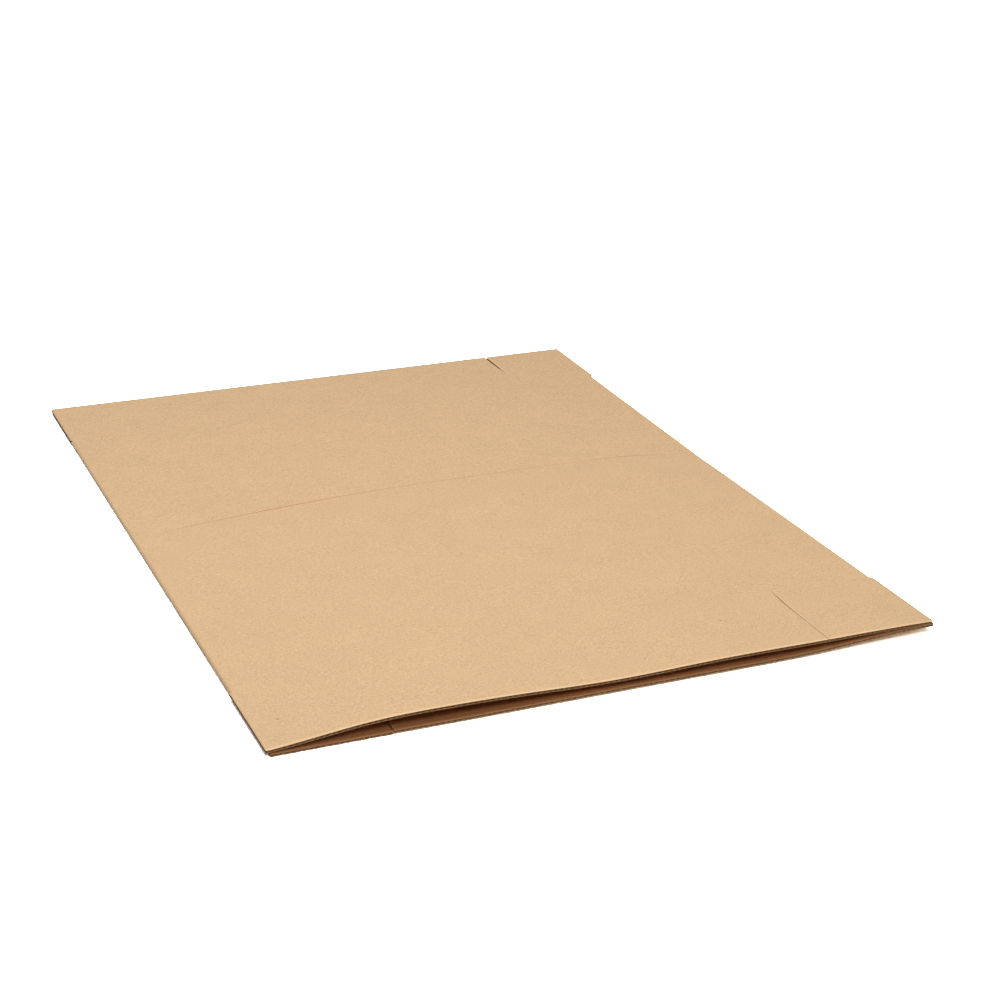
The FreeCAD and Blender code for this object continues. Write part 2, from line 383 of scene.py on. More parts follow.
def along(c, x, v):
    """Place along the carton: v, moved with the crease by a bell curve about it."""
    return v + crease_shift(c, x) * np.exp(-((v - c.crease) / CREASE_SPREAD) ** 2)


def bell(share, shape):
    """A bell curve: its height, its middle and its spread."""
    height, middle, spread = shape
    return height * np.exp(-((share - middle) / spread) ** 2)


def crease_strength(c, x):
    """How deep the crease is pressed: deepest left of the middle, stronger again near the
    right fold, faint between them and gone short of both folds."""
    share = x / c.right
    strong = CREASE_BASE + bell(share, CREASE_DEEP) + bell(share, CREASE_RIGHT)
    end, fade = CREASE_ENDS
    ends = np.clip((end - np.abs(share)) / fade, 0.0, 1.0)
    return strong * (1.0 - bell(share, CREASE_FAINT)) * ends


def panel_score_at(c, y):
    """Where the score between the upper layer's two panels runs at y, a straight line."""
    share = (y - c.front_score) / (c.back_score - c.front_score)
    return c.panel_score + SCORE_OFF_FRONT + share * (SCORE_OFF_BACK - SCORE_OFF_FRONT)


def lift(c, layer, x, v):
    """Height that the board is raised by: the front edge's lift, less by a straight line
    back to the crease, and the lower layer's lift beside its front slot."""
    share = np.clip((c.crease - v) / (c.crease - c.front), 0.0, None)
    raised = front_lift(c, layer.lifts, x) * share
    if layer.out < 0.0:
        near_slot = np.where(x > c.joint, np.exp(-(x - c.joint) / SLOT_LIFT_FADE), 0.0)
        raised = raised + SLOT_LIFT * near_slot * np.clip((c.front_score - v) / c.flap, 0.0, 1.0)
    return raised


def pressed(c, layer, x, v):
    """Depth of the pressed lines in the outer face: humps about the two flap scores and,
    on the upper layer, about the crease and the panel score."""
    half = SCORE_HALF_WIDTH
    depth = SCORE_DEPTH * (bump(v - c.front_score + half, half)
                           + bump(v - c.back_score - half, half))
    if layer.out > 0.0:
        depth = depth + CREASE_DEPTH * crease_strength(c, x) * bump(v - c.crease,
                                                                    CREASE_HALF_WIDTH)
        inside = (v > c.front_score) & (v < c.back_score)
        off = x - panel_score_at(c, v)
        depth = depth + np.where(inside, PANEL_SCORE_DEPTH * bump(off, SCORE_HALF_WIDTH), 0.0)
    return depth


def in_order(places):
    """Places in order and each once, to a ten-thousandth of a millimetre."""
    return np.unique(np.round(places, 4))


def even_steps(stops, step):
    """Stops in order, with even steps no longer than this between them."""
    places = [np.linspace(a, b, max(2, int(np.ceil((b - a) / step)) + 1))
              for a, b in zip(stops, stops[1:])]
    return in_order(np.concatenate(places))


def slot_edges(c, layer, end):
    """For one layer and one end, a function that gives a slot's two edges at v. The middle
    and half the width are read off the slot's list by the share of the way to its foot."""
    score, free = (c.front_score, c.front) if end < 0.0 else (c.back_score, c.back)
    line, slot = c.panel_score, FRONT_SLOT if end < 0.0 else BACK_SLOT
    foot = score + SLOT_PAST_SCORE if end < 0.0 and layer.out > 0.0 else score
    if layer.out < 0.0:
        line, slot = c.joint, JOINT_SLOT
    shares, middles, halves = np.array(slot).T

    def edges(v):
        share = (v - free) / (foot - free)
        middle = line + np.interp(share, shares, middles)
        half = np.interp(share, shares, halves)
        return middle - half, middle + half
    return edges


def rows_of(c):
    """Rows for the front flaps, the torn strip behind them, the body and the back flaps,
    close together where a score, the crease or a rounded corner needs them."""
    close = CORNER_ROUND * CORNER_SHARES
    groove = np.linspace(0.0, 2.0 * SCORE_HALF_WIDTH, GROOVE_ROWS)
    plain = even_steps((c.front + ROWS_OFF_END, c.front_score - ROWS_OFF_SCORE), FLAP_STEP)
    front = np.concatenate((c.front + close, plain, c.front_score - groove,
                            [c.front_score - FOLD_NICK]))
    plain = even_steps((c.back_score + ROWS_OFF_SCORE, c.back - ROWS_OFF_END), FLAP_STEP)
    back = np.concatenate((c.back - close, plain, c.back_score + groove,
                           [c.back_score + FOLD_NICK]))
    line = CREASE_HALF_WIDTH * CREASE_SHARES
    torn = c.front_score + SLOT_PAST_SCORE
    strip = even_steps((c.front_score, torn), STRIP_STEP)
    before = even_steps((torn, c.crease - ROWS_OFF_CREASE), BODY_STEP)
    behind = even_steps((c.crease + ROWS_OFF_CREASE, c.back_score), BODY_STEP)
    body = np.concatenate((before, c.crease - line, c.crease + line, behind))
    return [in_order(rows) for rows in (front, strip, body, back)]


def columns_of(c, layer):
    """Columns from fold to fold, with more of them beside the slots and the panel score."""
    stops = [-c.bend, c.bend]
    for end, score in ((-1.0, c.front_score), (1.0, c.back_score)):
        stops += list(slot_edges(c, layer, end)(score))
    if layer.out > 0.0:
        stops += list(slot_edges(c, layer, -1.0)(c.front_score + SLOT_PAST_SCORE))
        low = c.panel_score - COLUMNS_BEFORE_SCORE
        high = panel_score_at(c, c.back_score) + COLUMNS_PAST_SCORE
        stops += list(np.arange(low, high, SCORE_COLUMN_STEP))
    else:
        stops += [c.joint, c.joint + JOINT_GAP]
        stops += list(c.joint + JOINT_COLUMNS)
    return even_steps(in_order(stops), COLUMN_STEP)


Sheet = namedtuple("Sheet", "points inward weights faces")


def grid_faces(rows, columns, turned):
    """Two triangles for each cell of a grid, turned over or not."""
    corner = (np.arange(rows - 1)[:, None] * columns + np.arange(columns - 1)[None, :]).ravel()
    a, b, d, e = corner, corner + 1, corner + columns + 1, corner + columns
    faces = np.concatenate((np.stack((a, b, d), 1), np.stack((a, d, e), 1)))
    return faces[:, ::-1] if turned else faces


def clipped(columns, rows, edges):
    """Grid of x and v between two edges: each place outside is moved onto the edge, so that
    cells there close up."""
    v = np.repeat(rows[:, None], len(columns), 1)
    left, right = edges(v)
    x = np.clip(np.repeat(columns[None, :], len(rows), 0), left, right)
    return x, v


def nibbles(x):
    """Depth of the nibbled front edge at x: twice the mean of three sine waves, kept
    between 0 and 1, fading out at the left corner and away from it."""
    phases = np.random.default_rng(NIBBLE_SEED).uniform(0.0, 2.0 * pi, len(NIBBLE_WAVES))
    waves = [np.sin(2.0 * pi * x / length + phase)
             for length, phase in zip(NIBBLE_WAVES, phases)]
    inside = x + WIDTH / 2.0
    fade = np.clip((NIBBLES_END - inside) / NIBBLES_FADE_OUT, 0.0, 1.0)
    fade = fade * np.clip((inside - NIBBLES_START) / NIBBLES_FADE_IN, 0.0, 1.0)
    return NIBBLE * fade * np.clip(sum(waves) / (len(waves) / 2.0), 0.0, 1.0)


def drawn_in(c, x, v, side, nibbled):
    """Draws the free ends in: by a quarter circle at the corner where the flap's side edge
    is, and by the nibbles if this edge has them."""
    if side is not None:
        near = np.clip(CORNER_ROUND - np.abs(side - x), 0.0, CORNER_ROUND)
        gone = CORNER_ROUND - np.sqrt(CORNER_ROUND ** 2 - near ** 2)
        v = np.clip(v, c.front + gone, c.back - gone)
    return np.maximum(v, c.front + nibbles(x)) if nibbled else v


def board_points(c, layer, x, v, height, depth):
    """Points of one face: x, the place along, and a height on the lifted board, with the
    pressed lines taken off towards the board's middle."""
    z = height + lift(c, layer, x, v) - layer.out * depth * pressed(c, layer, x, v)
    return np.stack((x, along(c, x, v), z), -1)


def sheet_patch(c, layer, columns, rows, edges, side=None, outer_face=True, nibbled=False):
    """One flat patch of a liner, between two edges, with its way in and its two weights.
    The first is above 0 where a highlight is painted, on the front edge and at the right of
    an open slot, and below 0 on the back and side edges, which are made darker. The second
    is the crease's strength."""
    x, v = clipped(columns, rows, edges)
    v = drawn_in(c, x, v, side, nibbled)
    height = layer.outer if outer_face else layer.inner
    points = board_points(c, layer, x, v, height, 1.0 if outer_face else INNER_PRESSED)
    way = layer.out if outer_face else -layer.out
    inward = np.zeros_like(points)
    inward[..., 2] = -way * c.liner
    # Painted highlight: a pale rim along the front edge, where the cut edge catches the light, but
    # none on the upper layer's inner face
    rim = HIGHLIGHT_OUTER_RIM if outer_face else HIGHLIGHT_INNER_RIM
    highlight = np.clip(1.0 - (v - c.front) / rim, 0.0, 1.0)
    if not outer_face and layer.out > 0.0:
        highlight = np.zeros_like(highlight)
    # Darker towards the back end and, on a flap, towards its side edge
    darkened = np.clip(1.0 - (c.back - v) / DARKENING_END_RIM, 0.0, 1.0)
    if side is not None:
        beside = np.clip(1.0 - np.abs(side - x) / DARKENING_SIDE_RIM, 0.0, 1.0)
        darkened = np.maximum(darkened, beside)
        if side > 0.0:
            end = -1.0 if v[0, 0] < 0.0 else 1.0
            slot_left, slot_right = slot_edges(c, layer, end)(v)
            # Painted highlight on the raised liner at the right of an open slot, stronger the
            # wider the slot is
            rim = FRONT_SLOT_RIM if end < 0.0 else BACK_SLOT_RIM
            beside = np.clip(1.0 - (x - slot_right) / rim, 0.0, 1.0)
            gaping = np.clip((slot_right - slot_left) / SLOT_OPEN, 0.0, 1.0)
            highlight = np.maximum(highlight, SLOT_HIGHLIGHT * beside * gaping)
    # Crease weight for the darker, redder tone: partly the crushed fibres' own, partly painted
    # shade of the groove; none on the lower layer
    crease = crease_strength(c, x) * bump(v - c.crease, CREASE_HALF_WIDTH)
    if layer.out < 0.0:
        crease = np.zeros_like(crease)
    weights = np.stack((highlight - DARKENING * darkened, crease), -1)
    faces = grid_faces(len(rows), len(columns), way < 0.0)
    return Sheet(points.reshape(-1, 3), inward.reshape(-1, 3), weights.reshape(-1, 2), faces)


def fold_patch(c, side, rows, outer_face):
    """The bend from the lower to the upper layer: half an ellipse in section, as high as the
    two lifts there leave it, and half a circle where the layers lie flat."""
    radius = c.radius if outer_face else c.air / 2.0
    way = 1.0 if outer_face else -1.0
    steps = OUTER_FOLD_STEPS if outer_face else INNER_FOLD_STEPS
    angles = np.linspace(-pi / 2.0, pi / 2.0, steps)
    v, angle = np.meshgrid(rows, angles, indexing="ij")
    upper, lower = layers(c)
    bend = np.full_like(v, side * c.bend)
    top, foot = [(layer.outer if outer_face else layer.inner) + lift(c, layer, bend, v)
                 for layer in (upper, lower)]
    x = bend + side * radius * np.cos(angle)
    z = (top + foot) / 2.0 + (top - foot) / 2.0 * np.sin(angle)
    inward = np.stack((-side * way * np.cos(angle), np.zeros_like(x), -way * np.sin(angle)), -1)
    turned = (side > 0.0) == outer_face
    faces = grid_faces(len(rows), len(angles), turned)
    points = np.stack((x, along(c, bend, v), z), -1)
    return Sheet(points.reshape(-1, 3), c.liner * inward.reshape(-1, 3), np.zeros((x.size, 2)),
                 faces)


def joined(sheets):
    """Several sheets as one, with points that lie together merged and closed faces gone."""
    starts = np.cumsum([0] + [len(s.points) for s in sheets[:-1]])
    points = np.concatenate([s.points for s in sheets])
    faces = np.concatenate([s.faces + start for s, start in zip(sheets, starts)])
    keys = np.round(points, 3) + 0.0
    _, first, back = np.unique(keys, axis=0, return_index=True, return_inverse=True)
    faces = back.reshape(-1)[faces]
    a, b, d = faces.T
    faces = faces[(a != b) & (b != d) & (d != a)]
    return Sheet(points[first], np.concatenate([s.inward for s in sheets])[first],
                 np.concatenate([s.weights for s in sheets])[first], faces)


def thickened(sheet):
    """A closed shell: the sheet, a copy of it moved inward and turned over, and a wall
    along each edge that only one face has. Also gives which faces are wall."""
    count = len(sheet.points)
    points = np.concatenate((sheet.points, sheet.points + sheet.inward))
    under = sheet.faces[:, ::-1] + count
    sides = np.concatenate([sheet.faces[:, pair] for pair in ((0, 1), (1, 2), (2, 0))])
    code = sides[:, 0].astype(np.int64) * count + sides[:, 1]
    back = sides[:, 1].astype(np.int64) * count + sides[:, 0]
    a, b = sides[~np.isin(code, back)].T
    walls = np.concatenate((np.stack((b, a, a + count), 1),
                            np.stack((b, a + count, b + count), 1)))
    faces = np.concatenate((sheet.faces, under, walls))
    kind = np.repeat((0, 0, 1), (len(sheet.faces), len(under), len(walls)))
    return points, faces, np.concatenate((sheet.weights, sheet.weights)), kind


def put_piece(name, shell, materials):
    """Makes the mesh object, smooth but for its sharp rims, and ties it to the frame."""
    points, faces, weights, kind = shell
    mesh = bpy.data.meshes.new(name)
    mesh.vertices.add(len(points))
    mesh.vertices.foreach_set("co", (points * MM).ravel())
    mesh.loops.add(faces.size)
    mesh.loops.foreach_set("vertex_index", faces.ravel())
    mesh.polygons.add(len(faces))
    mesh.polygons.foreach_set("loop_start", np.arange(0, faces.size, 3))
    for material in materials:
        mesh.materials.append(material)
    mesh.polygons.foreach_set("material_index", np.minimum(kind, len(materials) - 1))
    mesh.update(calc_edges=True)
    mesh.validate()
    mesh.shade_smooth()
    mesh.set_sharp_from_angle(angle=SHARP_ANGLE)
    # cut_edge holds the painted edge highlight and the darker back and side edges; crease holds
    # the crease's tone, partly painted shade
    for attribute, values in zip(("cut_edge", "crease"), weights.T):
        mesh.attributes.new(attribute, "FLOAT", "POINT").data.foreach_set("value", values)
    piece = bpy.data.objects.new(name, mesh)
    bpy.context.scene.collection.objects.link(piece)
    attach(piece, BODY)
    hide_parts(NODE)


def flap_side(c, layer, end, part):
    """Where a flap's outer cut edge lies: at the fold's outside and what it stands past it."""
    return part * (c.right + layer.proud[int(end > 0.0)][int(part > 0.0)])


def flap_edges(c, layer, end, part):
    """Edges of one flap: the slot on one side, and on the other the flap's cut edge, which
    is nicked back to the fold where the slot at the fold ends."""
    slot = slot_edges(c, layer, end)
    score = c.front_score if end < 0.0 else c.back_score
    side = abs(flap_side(c, layer, end, part))

    def edges(v):
        outside = np.where(np.abs(v - score) < FOLD_NICK - HAIR, min(c.right, side), side)
        left, right = slot(v)
        if part < 0.0:
            return -outside, left
        return right, outside
    return edges


def between(low, high):
    """Edges of a patch that is the same width all along."""
    return lambda v: (np.full_like(v, low), np.full_like(v, high))


def liner_sheets(c, outer_face):
    """Every patch of one liner: two layers of body and eight flaps, with the two folds."""
    front, strip, body, back = rows_of(c)
    close = CORNER_ROUND * CORNER_SHARES
    sheets = []
    for layer in layers(c):
        columns = columns_of(c, layer)
        slot = slot_edges(c, layer, -1.0)
        if layer.out > 0.0:
            patches = ((strip, lambda v: (np.full_like(v, -c.bend), slot(v)[0])),
                       (strip, lambda v: (slot(v)[1], np.full_like(v, c.bend))),
                       (body, between(-c.bend, c.bend)))
        else:
            halves = (between(-c.bend, c.joint), between(c.joint + JOINT_GAP, c.bend))
            patches = [(rows, edges) for rows in (strip, body) for edges in halves]
        for rows, edges in patches:
            sheets.append(sheet_patch(c, layer, columns, rows, edges, None, outer_face))
        for end, rows in ((-1.0, front), (1.0, back)):
            for part in (-1.0, 1.0):
                side = flap_side(c, layer, end, part)
                nibbled = outer_face and layer.out < 0.0 and end < 0.0 and part < 0.0
                places = [columns, side - part * close,
                          [part * c.right, side - part * FLAP_SIDE_COLUMN]]
                if nibbled:
                    places.append(np.arange(-c.bend, NIBBLES_END - WIDTH / 2.0,
                                            NIBBLE_COLUMN_STEP))
                finer = in_order(np.concatenate(places))
                edges = flap_edges(c, layer, end, part)
                sheets.append(sheet_patch(c, layer, finer, rows, edges, side, outer_face,
                                          nibbled))
    for side in (-1.0, 1.0):
        for rows in (strip, body):
            sheets.append(fold_patch(c, side, rows, outer_face))
    return sheets


def fluting_sheets(c, layer):
    """The wavy sheet of one board. Its height is a sine of x between the two liners, and it
    runs from free edge to free edge. A pressed line takes its depth off the outer crests:
    half of it off the sine's swing and half off its middle."""
    low = min(layer.outer, layer.inner) + c.liner
    high = max(layer.outer, layer.inner) - c.liner
    middle = (low + high) / 2.0
    swing = (high - low - c.medium) / 2.0
    front_rows = np.array((c.front + FLUTING_END_INSET, c.front_score - 2.0 * SCORE_HALF_WIDTH,
                           c.front_score - SCORE_HALF_WIDTH, c.front_score))
    back_rows = np.array((c.back_score, c.back_score + SCORE_HALF_WIDTH,
                          c.back_score + 2.0 * SCORE_HALF_WIDTH, c.back - FLUTING_END_INSET))
    body_rows = np.array((c.front_score, c.crease - FLUTING_CREASE, c.crease,
                          c.crease + FLUTING_CREASE, c.back_score))
    step = c.pitch / STEPS_PER_FLUTE
    start = step * np.floor(-WIDTH / 2.0 / step)
    everywhere = np.arange(start, WIDTH / 2.0 + step, step)
    sheets = []

    def add(columns, rows, edges):
        x, v = clipped(columns, rows, edges)
        wave = np.sin(2.0 * pi * (x + c.bend) / c.pitch)
        crushed = np.clip(pressed(c, layer, x, v), 0.0, FLUTING_MOST_CRUSHED) / 2.0
        z = middle + lift(c, layer, x, v) + (swing - crushed) * wave
        z = z - layer.out * crushed
        z = z + layer.out * c.medium / 2.0
        points = np.stack((x, along(c, x, v), z), -1).reshape(-1, 3)
        inward = np.zeros_like(points)
        inward[:, 2] = -layer.out * c.medium
        faces = grid_faces(len(rows), len(columns), layer.out < 0.0)
        sheets.append(Sheet(points, inward, np.zeros((len(points), 2)), faces))

    if layer.out < 0.0:
        short_end = c.joint - FLUTING_JOINT_INSET
        long_end = c.joint + JOINT_GAP + FLUTING_JOINT_INSET
        add(everywhere, body_rows, between(-c.bend, short_end))
        add(everywhere, body_rows, between(long_end, c.bend))
    else:
        add(everywhere, body_rows, between(-c.bend, c.bend))
    for end, rows in ((-1.0, front_rows), (1.0, back_rows)):
        for part in (-1.0, 1.0):
            edges = flap_edges(c, layer, end, part)
            add(everywhere, rows, lambda v, e=edges: (e(v)[0] + FLUTING_SIDE_INSET,
                                                      e(v)[1] - FLUTING_SIDE_INSET))
    return sheets


def lap_shell(c):
    """The crushed lap: a slab whose plan is a rectangle with its inner corners cut off.
    Its free edge is pressed thin, by the square of the way in over the last millimetres, and
    its top shows the flutes as a faint sine wave."""
    across = np.linspace(0.0, 1.0, LAP_COLUMNS)
    rows = np.linspace(0.0, 1.0, LAP_ROWS)
    u, s = np.meshgrid(across, rows)
    left, right = c.joint - LAP_WIDTH, c.joint + JOINT_GAP + LAP_PAST_JOINT
    x = left + u * (right - left)
    cut = LAP_END_GAP * np.clip(1.0 - (x - left) / LAP_WIDTH, 0.0, 1.0)
    near = c.front_score + LAP_END_GAP + cut
    far = c.back_score - LAP_END_GAP - cut
    y = near + s * (far - near)
    thin = LAP_THINNER * (1.0 - np.clip((x - left) / LAP_THIN_REACH, 0.0, 1.0)) ** 2
    wave = LAP_WAVE * np.sin(2.0 * pi * (x + c.bend) / c.pitch)
    z = c.board + LAP_PROUD - thin + wave
    points = np.stack((x, y, z), -1).reshape(-1, 3)
    inward = np.zeros_like(points)
    inward[:, 2] = -(LAP_CRUSHED - thin.ravel())
    return thickened(Sheet(points, inward, np.zeros((len(points), 2)),
                           grid_faces(len(rows), len(across), False)))


def fleck_shell(c):
    """Bark flecks: flat six-sided lozenges, each longer than wide, turned at random and
    laid just proud of the upper layer's outer face. The cube of a random share makes most
    of them short. The seen ones come first."""
    upper = layers(c)[0]
    rng = np.random.default_rng(FLECK_SEED)
    nearest = np.array((-c.bend, c.front)) + FLECK_MARGINS
    farthest = np.array((c.bend, c.back)) - FLECK_MARGINS
    places = rng.uniform(nearest, farthest, (c.flecks, 2))
    lengths = FLECK_SHORTEST + FLECK_LONGER * rng.random(c.flecks) ** 3
    seen = np.array(SEEN_FLECKS)
    places = np.concatenate((seen[:, :2], places))
    lengths = np.concatenate((seen[:, 2], lengths))
    turns = rng.uniform(-FLECK_TURN, FLECK_TURN, len(lengths))
    ring = np.linspace(0.0, 2.0 * pi, 7)[:-1]
    a = lengths[:, None] / 2.0 * np.cos(ring)
    b = lengths[:, None] * rng.uniform(*FLECK_WIDTHS, (len(lengths), 1)) * np.sin(ring)
    x = places[:, :1] + a * np.cos(turns[:, None]) - b * np.sin(turns[:, None])
    v = places[:, 1:] + a * np.sin(turns[:, None]) + b * np.cos(turns[:, None])
    points = board_points(c, upper, x, v, upper.outer, 1.0)
    points[..., 2] += FLECK_PROUD
    start = len(ring) * np.arange(len(lengths))
    fan = [np.stack((start, start + i, start + i + 1), 1) for i in range(1, len(ring) - 1)]
    flat = points.reshape(-1, 3)
    inward = np.zeros_like(flat)
    inward[:, 2] = -FLECK_THICK
    return thickened(Sheet(flat, inward, np.zeros((len(flat), 2)), np.concatenate(fan)))


def add_node(tree, kind, inputs=None, **settings):
    """Adds one node, sets its own settings, then sets each input to a value or links it."""
    made = tree.nodes.new(kind)
    for name, value in settings.items():
        setattr(made, name, value)
    for key, value in (inputs or {}).items():
        if isinstance(value, bpy.types.NodeSocket):
            tree.links.new(value, made.inputs[key])
        else:
            made.inputs[key].default_value = value
    return made


def emptied(owner):
    """The node tree of a material or a world, with nothing in it."""
    owner.use_nodes = True
    owner.node_tree.nodes.clear()
    return owner.node_tree


def new_paper(name, roughness, specular):
    """A material with its shader joined to its output, for matt paper, and the place in
    Object coordinates that its patterns read."""
    material = bpy.data.materials.new(name)
    tree = emptied(material)
    shader = add_node(tree, "ShaderNodeBsdfPrincipled", {"Roughness": roughness,
                                                         "Specular IOR Level": specular})
    add_node(tree, "ShaderNodeOutputMaterial", {"Surface": shader.outputs[0]})
    return material, tree, shader, add_node(tree, "ShaderNodeTexCoord").outputs["Object"]


def mottled(tree, shader, colour, pattern, strength, least):
    """Gives the shader a colour that a pattern makes lighter and darker: the colour times
    the pattern by its strength, on top of the least tone."""
    tone = add_node(tree, "ShaderNodeMath", {0: pattern, 1: strength, 2: least},
                    operation="MULTIPLY_ADD")
    tinted = add_node(tree, "ShaderNodeVectorMath", {0: colour[:3], "Scale": tone.outputs[0]},
                      operation="SCALE")
    tree.links.new(tinted.outputs[0], shader.inputs["Base Color"])


def per_metre(millimetres):
    """A texture scale that gives features of this size, in Object coordinates."""
    return 1.0 / (millimetres * MM)


def kraft_paper(name, colour, looks, pitch, highlight):
    """Unbleached kraft liner, machine made and uncoated: a warm matt brown with cloudy
    formation, short darker and lighter fibres, the faint washboard of the flutes, a painted
    highlight along the front edges and beside the slots, darker back and side edges, and a
    redder line along the crease, partly the crushed fibres' own tone and partly painted shade."""
    material, tree, shader, place = new_paper(name, roughness=0.86, specular=0.25)
    cloud = add_node(tree, "ShaderNodeTexNoise", {"Vector": place, "Scale": per_metre(CLOUD),
                                                  "Detail": 3.0, "Roughness": 0.55})
    # The pulp's own mottle is finer than this: drawn 2.4 mm coarse so that it shows
    mottle = add_node(tree, "ShaderNodeTexNoise", {"Vector": place, "Scale": per_metre(MOTTLE),
                                                   "Detail": 2.0, "Roughness": 0.6})
    stretched = add_node(tree, "ShaderNodeMapping", {"Vector": place, "Scale": (0.3, 1.0, 1.0)})
    fibre = add_node(tree, "ShaderNodeTexNoise", {"Vector": stretched.outputs[0],
                                                  "Scale": per_metre(FIBRE), "Detail": 1.0})
    # Each pattern moves the tone by some parts in a hundred about 1. The cut_edge weight adds
    # a painted highlight at the front edges and beside the slots, and darkens the back and side
    # edges.
    edge = add_node(tree, "ShaderNodeAttribute", attribute_name="cut_edge")
    tone = add_node(tree, "ShaderNodeMath", {0: cloud.outputs[0], 1: CLOUD_TONE, 2: KRAFT_TONE},
                    operation="MULTIPLY_ADD")
    for pattern, strength in ((mottle.outputs[0], MOTTLE_TONE), (fibre.outputs[0], FIBRE_TONE),
                              (edge.outputs["Fac"], highlight)):
        tone = add_node(tree, "ShaderNodeMath", {0: pattern, 1: strength, 2: tone.outputs[0]},
                        operation="MULTIPLY_ADD")
    pulp = add_node(tree, "ShaderNodeVectorMath", {0: colour[:3], "Scale": tone.outputs[0]},
                    operation="SCALE")
    # Mixed towards the crease colour along the crease: partly the crushed fibres' own tone, partly
    # painted shade of the groove
    crease = add_node(tree, "ShaderNodeAttribute", attribute_name="crease")
    creased = add_node(tree, "ShaderNodeMix", {0: crease.outputs["Fac"], 6: pulp.outputs[0],
                                               7: looks.crease}, data_type="RGBA")
    tree.links.new(creased.outputs[2], shader.inputs["Base Color"])
    # The wave texture's sine turns 20 times its scale in each metre
    ribs = add_node(tree, "ShaderNodeTexWave", {"Vector": place,
                                                "Scale": 2.0 * pi / (20.0 * pitch * MM)},
                    wave_type="BANDS", bands_direction="X", wave_profile="SIN")
    washboard = add_node(tree, "ShaderNodeBump", {"Height": ribs.outputs["Fac"], "Strength": 1.0,
                                                  "Distance": WASHBOARD_DEPTH * MM})
    rough = add_node(tree, "ShaderNodeBump", {"Height": mottle.outputs[0], "Strength": 1.0,
                                              "Distance": MOTTLE_DEPTH * MM,
                                              "Normal": washboard.outputs[0]})
    tree.links.new(rough.outputs[0], shader.inputs["Normal"])
    return material


def torn_edge(name, colour):
    """The sawn and slit edge of paper: matt, woolly, mottled by fibres about 0.6 mm long."""
    material, tree, shader, place = new_paper(name, roughness=0.95, specular=0.15)
    wool = add_node(tree, "ShaderNodeTexNoise", {"Vector": place, "Scale": per_metre(0.6),
                                                 "Detail": 3.0, "Roughness": 0.7})
    mottled(tree, shader, colour, wool.outputs[0], strength=0.5, least=0.72)
    fuzz = add_node(tree, "ShaderNodeBump", {"Height": wool.outputs[0], "Distance": 0.1 * MM})
    tree.links.new(fuzz.outputs[0], shader.inputs["Normal"])
    return material


def fluting_paper(name, colour):
    """Semi-chemical fluting paper, pressed hot into waves: greyer and duller than kraft,
    with dark and pale fibres about 1 mm long."""
    material, tree, shader, place = new_paper(name, roughness=0.92, specular=0.2)
    fibre = add_node(tree, "ShaderNodeTexNoise", {"Vector": place, "Scale": per_metre(1.0),
                                                  "Detail": 4.0, "Roughness": 0.65})
    mottled(tree, shader, colour, fibre.outputs[0], strength=0.4, least=0.8)
    return material


def bark_fleck(name, colour):
    """Specks of bark left in the pulp: small, dark and matt, paler or darker by turns."""
    material, tree, shader, place = new_paper(name, roughness=0.9, specular=0.5)
    tone = add_node(tree, "ShaderNodeTexNoise", {"Vector": place, "Scale": per_metre(30.0)})
    mottled(tree, shader, colour, tone.outputs[0], strength=1.2, least=0.5)
    return material


class CARTON_OT_outer_liner(bpy.types.Operator):
    """Builds the outer liner: the faces, flaps and folds that show from outside"""
    bl_idname = "carton.outer_liner"
    bl_label = "Outer liner"

    def execute(self, context):
        c = measured(context.scene.carton_sizes)
        looks = context.scene.carton_looks
        face = kraft_paper("kraft_liner_outer", looks.outer_liner, looks, c.pitch, HIGHLIGHT_OUTER)
        edge = torn_edge("kraft_liner_cut_edge", looks.cut_edge)
        put_piece("outer_liner", thickened(joined(liner_sheets(c, True))), (face, edge))
        return {"FINISHED"}


class CARTON_OT_inner_liner(bpy.types.Operator):
    """Builds the inner liner, which the open mouth shows"""
    bl_idname = "carton.inner_liner"
    bl_label = "Inner liner"

    def execute(self, context):
        c = measured(context.scene.carton_sizes)
        looks = context.scene.carton_looks
        face = kraft_paper("kraft_liner_inner", looks.inner_liner, looks, c.pitch, HIGHLIGHT_INNER)
        edge = torn_edge("kraft_liner_inner_cut_edge", looks.cut_edge)
        put_piece("inner_liner", thickened(joined(liner_sheets(c, False))), (face, edge))
        return {"FINISHED"}


class CARTON_OT_fluting(bpy.types.Operator):
    """Builds the two wavy sheets between the liners"""
    bl_idname = "carton.fluting"
    bl_label = "Fluting"

    def execute(self, context):
        c = measured(context.scene.carton_sizes)
        paper = fluting_paper("fluting_paper", context.scene.carton_looks.fluting)
        for name, layer in zip(("upper_fluting", "lower_fluting"), layers(c)):
            put_piece(name, thickened(joined(fluting_sheets(c, layer))), (paper,))
        return {"FINISHED"}


class CARTON_OT_lap(bpy.types.Operator):
    """Builds the glued lap that closes the tube"""
    bl_idname = "carton.lap"
    bl_label = "Glued lap"

    def execute(self, context):
        c = measured(context.scene.carton_sizes)
        looks = context.scene.carton_looks
        face = kraft_paper("kraft_lap", looks.inner_liner, looks, c.pitch, HIGHLIGHT_LAP)
        edge = torn_edge("kraft_lap_cut_edge", looks.cut_edge)
        put_piece("glued_lap", lap_shell(c), (face, edge))
        return {"FINISHED"}


class CARTON_OT_flecks(bpy.types.Operator):
    """Scatters bark flecks over the upper layer"""
    bl_idname = "carton.flecks"
    bl_label = "Bark flecks"

    def execute(self, context):
        c = measured(context.scene.carton_sizes)
        bark = bark_fleck("bark_fleck", context.scene.carton_looks.bark)
        put_piece("bark_flecks", fleck_shell(c), (bark,))
        return {"FINISHED"}


